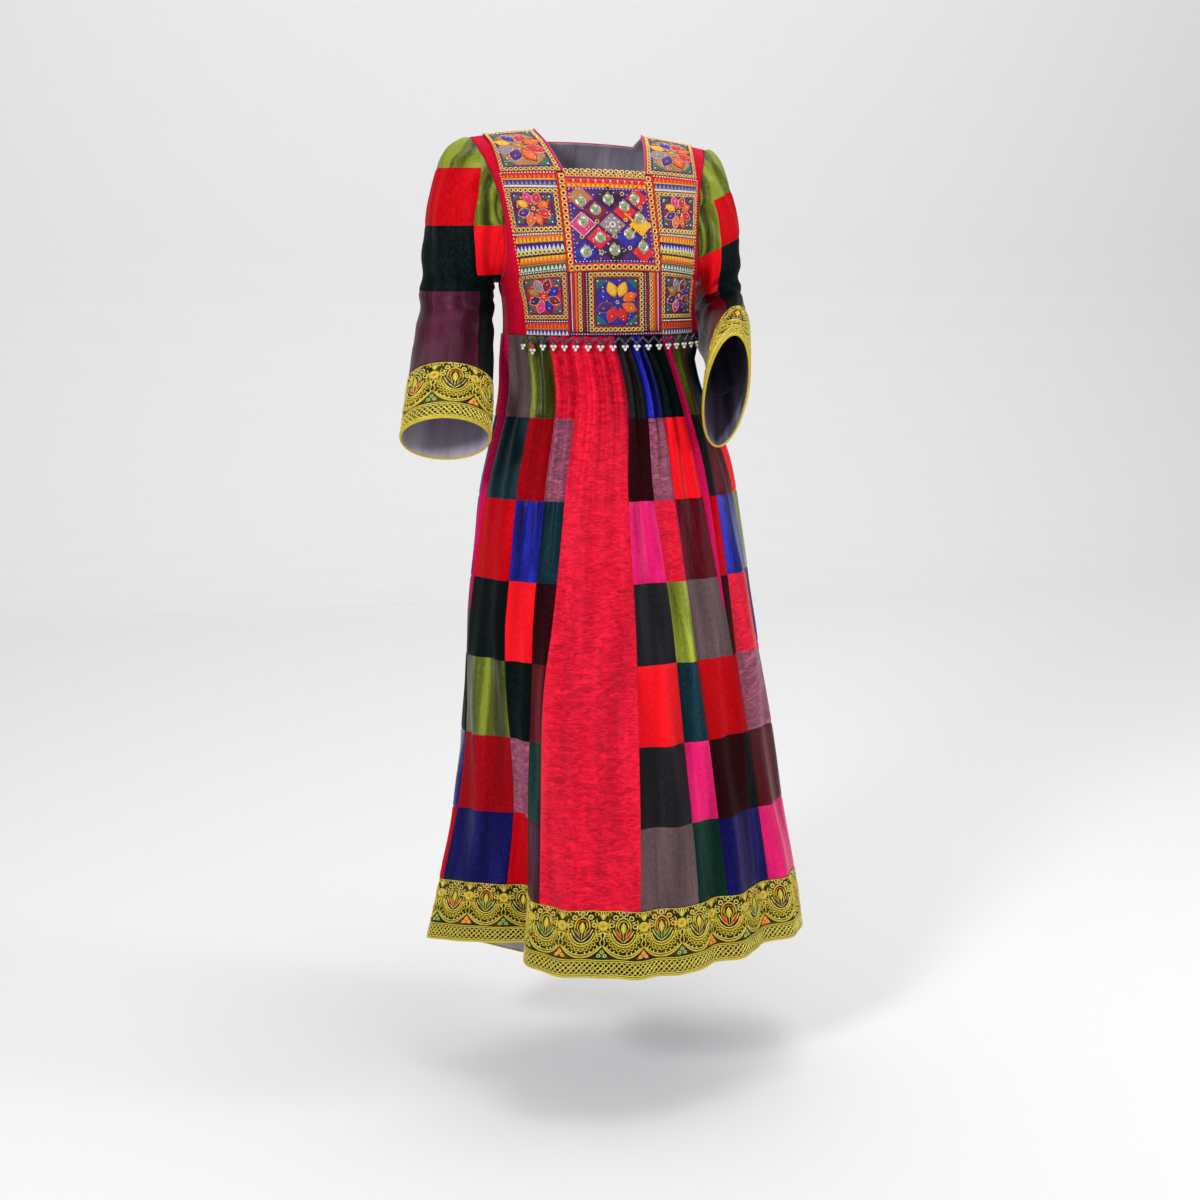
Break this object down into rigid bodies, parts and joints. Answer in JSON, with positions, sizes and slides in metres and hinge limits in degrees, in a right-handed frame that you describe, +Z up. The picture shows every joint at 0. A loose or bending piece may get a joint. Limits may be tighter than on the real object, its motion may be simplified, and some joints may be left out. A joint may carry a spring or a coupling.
{
  "type": "afghan dress",
  "caption": "Long patchwork velvet dress with a square neck, embroidered bib, wide banded sleeves and a gathered skirt over a gold hem band, in its worn hollow form.",
  "frame": {"origin": "midway between the two shoulders, where the wearer holds the dress up", "axes": "+Z up along the standing wearer, -Y to the wearer's front, +X to the wearer's left"},
  "size_m": [0.6523, 0.4691, 1.328],
  "materials": {
    "crimson_velvet": "crushed velvet with a soft pile",
    "patch_velvet": "patches of plain, satin and crushed velvet in many colours",
    "sleeve_velvet": "plain velvet patches below a green satin cap",
    "gold_band": "gold cord embroidery on near-black cloth",
    "bib_embroidery": "dense thread embroidery with beads, rings and discs"
  },
  "bodies": {
    "root": {"gore_z": "patch_velvet", "gore_a": "crimson_velvet", "gore_b": "patch_velvet", "gore_c": "patch_velvet", "gore_d": "patch_velvet", "gore_e": "crimson_velvet", "gore_f": "patch_velvet", "gore_g": "patch_velvet", "gore_h": "patch_velvet", "gore_i": "crimson_velvet", "gore_j": "patch_velvet", "gore_k": "patch_velvet", "gore_l": "patch_velvet", "gore_m": "patch_velvet", "gore_n": "patch_velvet", "gore_o": "patch_velvet", "gore_p": "patch_velvet", "gore_q": "patch_velvet", "gore_r": "patch_velvet", "gore_s": "patch_velvet", "gore_t": "patch_velvet", "bodice_front": "crimson_velvet", "bodice_back": "crimson_velvet", "right_sleeve": "sleeve_velvet", "left_sleeve": "sleeve_velvet", "right_cuff": "gold_band", "left_cuff": "gold_band", "hem_band": "gold_band", "bib_centre": "bib_embroidery", "bib_left": "bib_embroidery", "bib_right": "bib_embroidery"}
  },
  "joints": []
}
